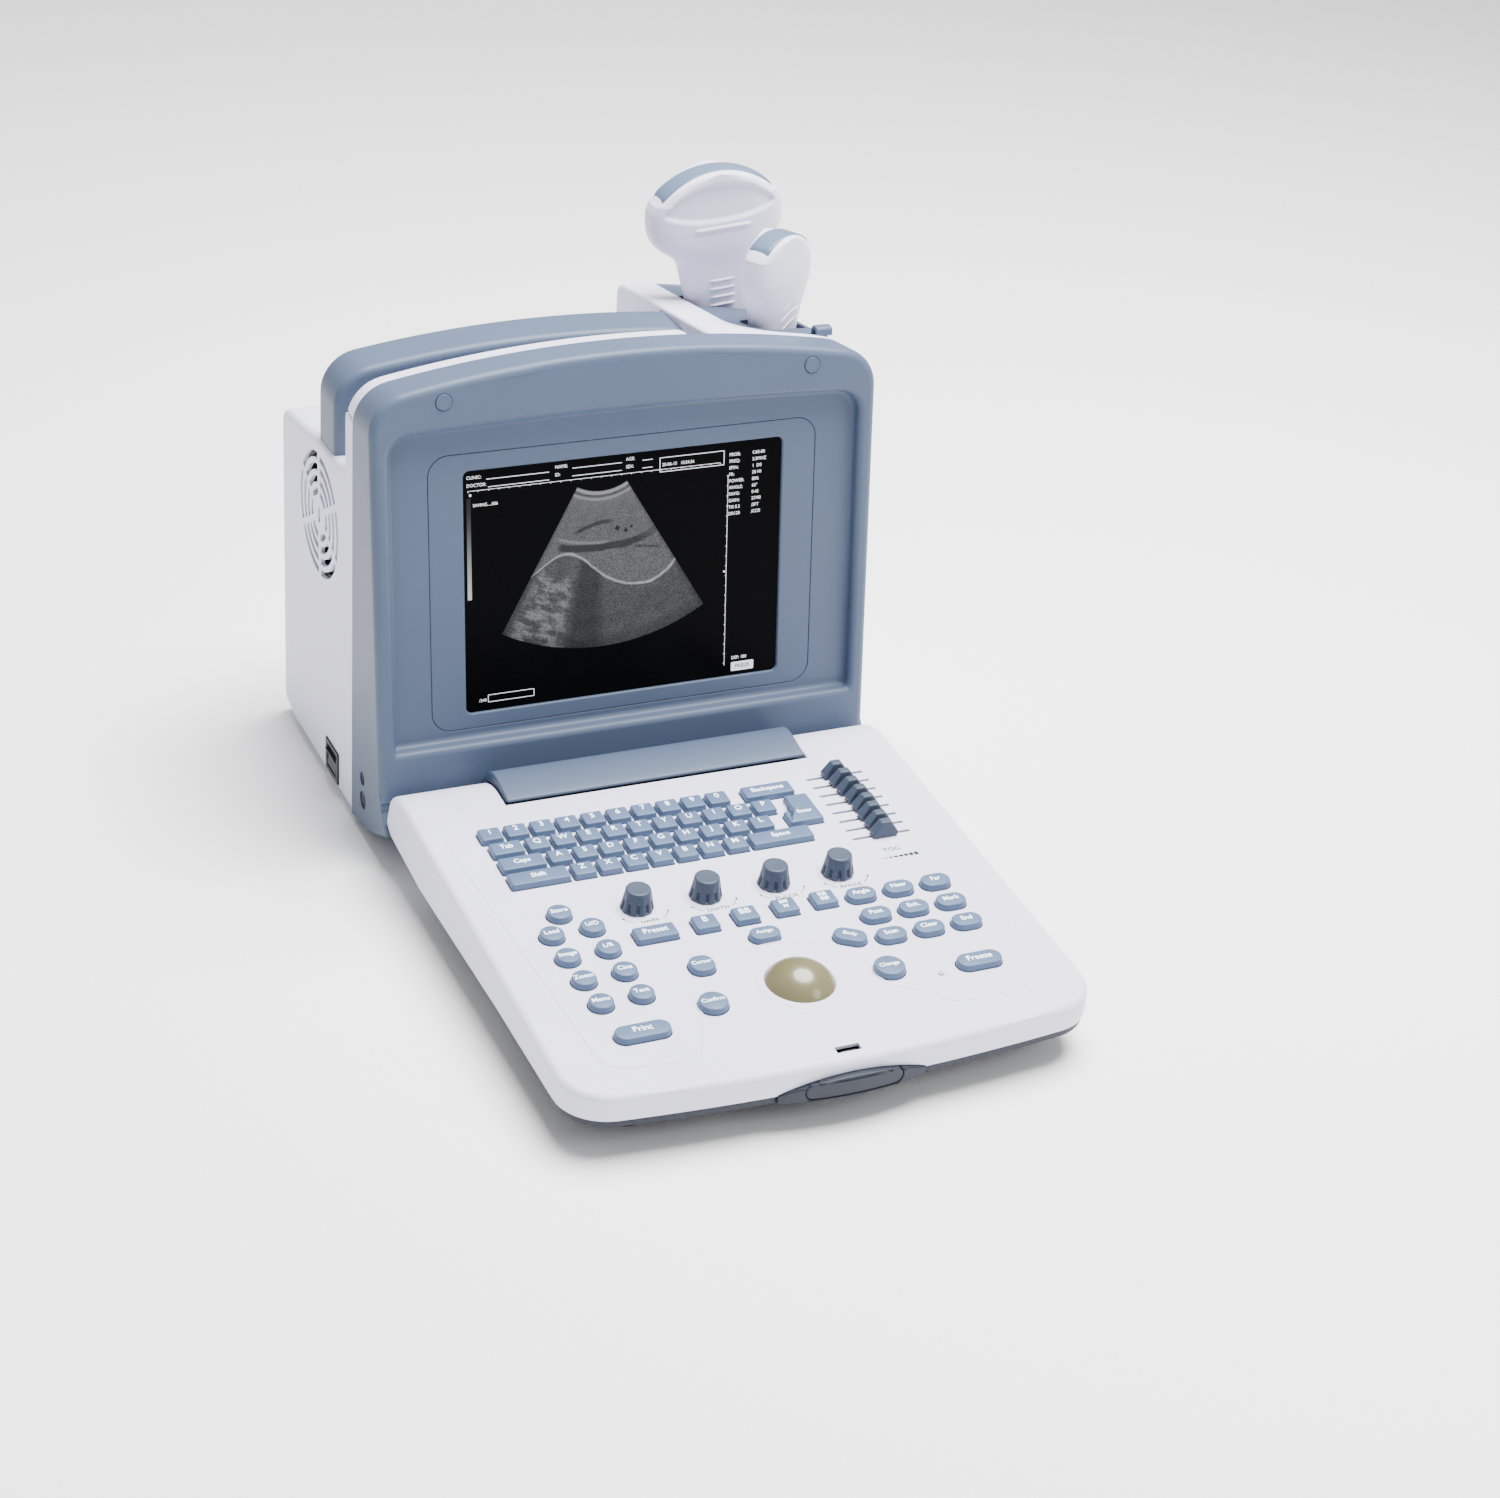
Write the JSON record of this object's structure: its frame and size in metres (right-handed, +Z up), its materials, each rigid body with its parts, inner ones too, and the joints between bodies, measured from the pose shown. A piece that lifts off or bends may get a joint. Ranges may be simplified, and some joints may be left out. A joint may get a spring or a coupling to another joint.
{
  "type": "ultrasound scanner",
  "caption": "Portable ultrasound scanner: upright unit with screen and carrying handle, fold-down keyboard with trackball, dials and gain sliders, and two probes in a tray.",
  "frame": {"origin": "on the table, under the middle of the whole object's outline", "axes": "+X to the operator's right, +Y to the back, +Z up"},
  "size_m": [0.337, 0.5633, 0.384],
  "materials": {
    "white_plastic": "fine satin",
    "blue_grey_plastic": "fine satin",
    "key_blue": "satin",
    "knob_grey": "satin",
    "dark_grey_plastic": "satin",
    "black_plastic": "satin",
    "foot_rubber": "matte",
    "bright_steel": "satin",
    "circuit_board": "satin",
    "screen_glass": "gloss",
    "ball_ivory": "gloss",
    "lamp_lens": "gloss",
    "probe_lens": "smooth satin"
  },
  "bodies": {
    "main_unit": {"rear_case": "white_plastic", "top_rim": "white_plastic", "front_bezel": "blue_grey_plastic", "screen_frame": "blue_grey_plastic", "screen_window": "screen_glass", "lcd_panel": "bright_steel", "carry_handle": "blue_grey_plastic", "probe_tray": "blue_grey_plastic", "cable_hook": "blue_grey_plastic", "fan_frame": "dark_grey_plastic", "main_board": "circuit_board", "power_supply": "bright_steel", "switch_body": "black_plastic", "mains_inlet": "black_plastic", "probe_sockets": "black_plastic", "bumper_pads": "blue_grey_plastic", "body_feet": "foot_rubber", "case_screws": "bright_steel", "hinge_cover": "blue_grey_plastic", "hinge_pins": "bright_steel"},
    "fan": {"fan_rotor": "black_plastic"},
    "rocker": {"power_rocker": "black_plastic"},
    "brightness": {"brightness_knob": "dark_grey_plastic"},
    "contrast": {"contrast_knob": "dark_grey_plastic"},
    "keyboard": {"keyboard_top": "white_plastic", "keyboard_base": "dark_grey_plastic", "front_grip": "dark_grey_plastic", "keyboard_board": "circuit_board", "keyboard_feet": "foot_rubber", "trackball_ring": "white_plastic", "status_lamp": "lamp_lens"},
    "latch": {"latch_button": "dark_grey_plastic"},
    "ball": {"trackball": "ball_ivory"},
    "convex_probe": {"convex_probe_body": "white_plastic", "convex_probe_lens": "probe_lens"},
    "small_probe": {"small_probe_body": "white_plastic", "small_probe_lens": "probe_lens"},
    "digit_keys_body": {"digit_keys": "key_blue"},
    "letter_keys_body": {"letter_keys": "key_blue"},
    "wide_keys_body": {"wide_keys": "key_blue"},
    "enter_key_body": {"enter_key": "key_blue"},
    "mode_keys_body": {"mode_keys": "key_blue"},
    "preset_key_body": {"preset_key": "key_blue"},
    "round_keys_body": {"round_keys": "key_blue"},
    "print_key_body": {"print_key": "key_blue"},
    "oval_keys_body": {"oval_keys": "key_blue"},
    "pointer_keys_body": {"pointer_keys": "key_blue"},
    "freeze_key_body": {"freeze_key": "key_blue"},
    "gain_dial": {"gain_knob": "knob_grey"},
    "depth_dial": {"depth_knob": "knob_grey"},
    "focus_dial": {"focus_knob": "knob_grey"},
    "angle_dial": {"angle_knob": "knob_grey"},
    "slider_1": {"gain_slider_1": "knob_grey"},
    "slider_2": {"gain_slider_2": "knob_grey"},
    "slider_3": {"gain_slider_3": "knob_grey"},
    "slider_4": {"gain_slider_4": "knob_grey"},
    "slider_5": {"gain_slider_5": "knob_grey"},
    "slider_6": {"gain_slider_6": "knob_grey"},
    "slider_7": {"gain_slider_7": "knob_grey"},
    "slider_8": {"gain_slider_8": "knob_grey"}
  },
  "joints": [
    {"name": "keyboard_fold", "type": "hinge", "parent": "main_unit", "child": "keyboard", "pos_m": [0, 0.045, 0.0453], "axis": [-1, 0, 0], "range_deg": [0, 97]},
    {"name": "fan_spin", "type": "hinge", "parent": "main_unit", "child": "fan", "pos_m": [-0.15, 0.195, 0.184], "axis": [1, 0, 0], "continuous": true},
    {"name": "power_rock", "type": "hinge", "parent": "main_unit", "child": "rocker", "pos_m": [-0.1628, 0.165, 0.021], "axis": [0, 1, 0], "range_deg": [0, 14]},
    {"name": "brightness_turn", "type": "hinge", "parent": "main_unit", "child": "brightness", "pos_m": [-0.16, 0.1015, 0.042], "axis": [-1, 0, 0], "range_deg": [-135, 135]},
    {"name": "contrast_turn", "type": "hinge", "parent": "main_unit", "child": "contrast", "pos_m": [-0.16, 0.1, 0.027], "axis": [-1, 0, 0], "range_deg": [-135, 135]},
    {"name": "latch_press", "type": "slide", "parent": "keyboard", "child": "latch", "axis": [0, 0.9978, 0.0663], "range_m": [0, 0.0025], "stiffness_N_per_m": 400},
    {"name": "ball_roll", "type": "hinge", "parent": "keyboard", "child": "ball", "pos_m": [-0.0005, -0.20057, 0.03249], "axis": [1, 0, 0], "continuous": true},
    {"name": "convex_probe_lift", "type": "slide", "parent": "main_unit", "child": "convex_probe", "axis": [0, 0, 1], "range_m": [0, 0.1]},
    {"name": "small_probe_lift", "type": "slide", "parent": "main_unit", "child": "small_probe", "axis": [0, 0, 1], "range_m": [0, 0.1]},
    {"name": "digit_keys_press", "type": "slide", "parent": "keyboard", "child": "digit_keys_body", "axis": [0, 0.0663, -0.9978], "range_m": [0, 0.002], "stiffness_N_per_m": 900},
    {"name": "letter_keys_press", "type": "slide", "parent": "keyboard", "child": "letter_keys_body", "axis": [0, 0.0663, -0.9978], "range_m": [0, 0.002], "stiffness_N_per_m": 900},
    {"name": "wide_keys_press", "type": "slide", "parent": "keyboard", "child": "wide_keys_body", "axis": [0, 0.0663, -0.9978], "range_m": [0, 0.002], "stiffness_N_per_m": 300},
    {"name": "enter_key_press", "type": "slide", "parent": "keyboard", "child": "enter_key_body", "axis": [0, 0.0663, -0.9978], "range_m": [0, 0.002], "stiffness_N_per_m": 300},
    {"name": "mode_keys_press", "type": "slide", "parent": "keyboard", "child": "mode_keys_body", "axis": [0, 0.0663, -0.9978], "range_m": [0, 0.002], "stiffness_N_per_m": 300},
    {"name": "preset_key_press", "type": "slide", "parent": "keyboard", "child": "preset_key_body", "axis": [0, 0.0663, -0.9978], "range_m": [0, 0.002], "stiffness_N_per_m": 300},
    {"name": "round_keys_press", "type": "slide", "parent": "keyboard", "child": "round_keys_body", "axis": [0, 0.0663, -0.9978], "range_m": [0, 0.002], "stiffness_N_per_m": 900},
    {"name": "print_key_press", "type": "slide", "parent": "keyboard", "child": "print_key_body", "axis": [0, 0.0663, -0.9978], "range_m": [0, 0.002], "stiffness_N_per_m": 300},
    {"name": "oval_keys_press", "type": "slide", "parent": "keyboard", "child": "oval_keys_body", "axis": [0, 0.0663, -0.9978], "range_m": [0, 0.002], "stiffness_N_per_m": 900},
    {"name": "pointer_keys_press", "type": "slide", "parent": "keyboard", "child": "pointer_keys_body", "axis": [0, 0.0663, -0.9978], "range_m": [0, 0.002], "stiffness_N_per_m": 300},
    {"name": "freeze_key_press", "type": "slide", "parent": "keyboard", "child": "freeze_key_body", "axis": [0, 0.0663, -0.9978], "range_m": [0, 0.002], "stiffness_N_per_m": 300},
    {"name": "gain_turn", "type": "hinge", "parent": "keyboard", "child": "gain_dial", "pos_m": [-0.0645, -0.109, 0.05711], "axis": [0, -0.0663, 0.9978], "range_deg": [-140, 140]},
    {"name": "depth_turn", "type": "hinge", "parent": "keyboard", "child": "depth_dial", "pos_m": [-0.0206, -0.109, 0.05711], "axis": [0, -0.0663, 0.9978], "range_deg": [-140, 140]},
    {"name": "focus_turn", "type": "hinge", "parent": "keyboard", "child": "focus_dial", "pos_m": [0.0239, -0.109, 0.05711], "axis": [0, -0.0663, 0.9978], "range_deg": [-140, 140]},
    {"name": "angle_turn", "type": "hinge", "parent": "keyboard", "child": "angle_dial", "pos_m": [0.0663, -0.109, 0.05711], "axis": [0, -0.0663, 0.9978], "range_deg": [-140, 140]},
    {"name": "slider_1_move", "type": "slide", "parent": "keyboard", "child": "slider_1", "axis": [1, 0, 0], "range_m": [-0.015, 0.014]},
    {"name": "slider_2_move", "type": "slide", "parent": "keyboard", "child": "slider_2", "axis": [1, 0, 0], "range_m": [-0.0162, 0.0128]},
    {"name": "slider_3_move", "type": "slide", "parent": "keyboard", "child": "slider_3", "axis": [1, 0, 0], "range_m": [-0.0169, 0.0121]},
    {"name": "slider_4_move", "type": "slide", "parent": "keyboard", "child": "slider_4", "axis": [1, 0, 0], "range_m": [-0.018, 0.011]},
    {"name": "slider_5_move", "type": "slide", "parent": "keyboard", "child": "slider_5", "axis": [1, 0, 0], "range_m": [-0.0183, 0.0107]},
    {"name": "slider_6_move", "type": "slide", "parent": "keyboard", "child": "slider_6", "axis": [1, 0, 0], "range_m": [-0.0175, 0.0115]},
    {"name": "slider_7_move", "type": "slide", "parent": "keyboard", "child": "slider_7", "axis": [1, 0, 0], "range_m": [-0.0176, 0.0114]},
    {"name": "slider_8_move", "type": "slide", "parent": "keyboard", "child": "slider_8", "axis": [1, 0, 0], "range_m": [-0.0168, 0.0122]}
  ]
}
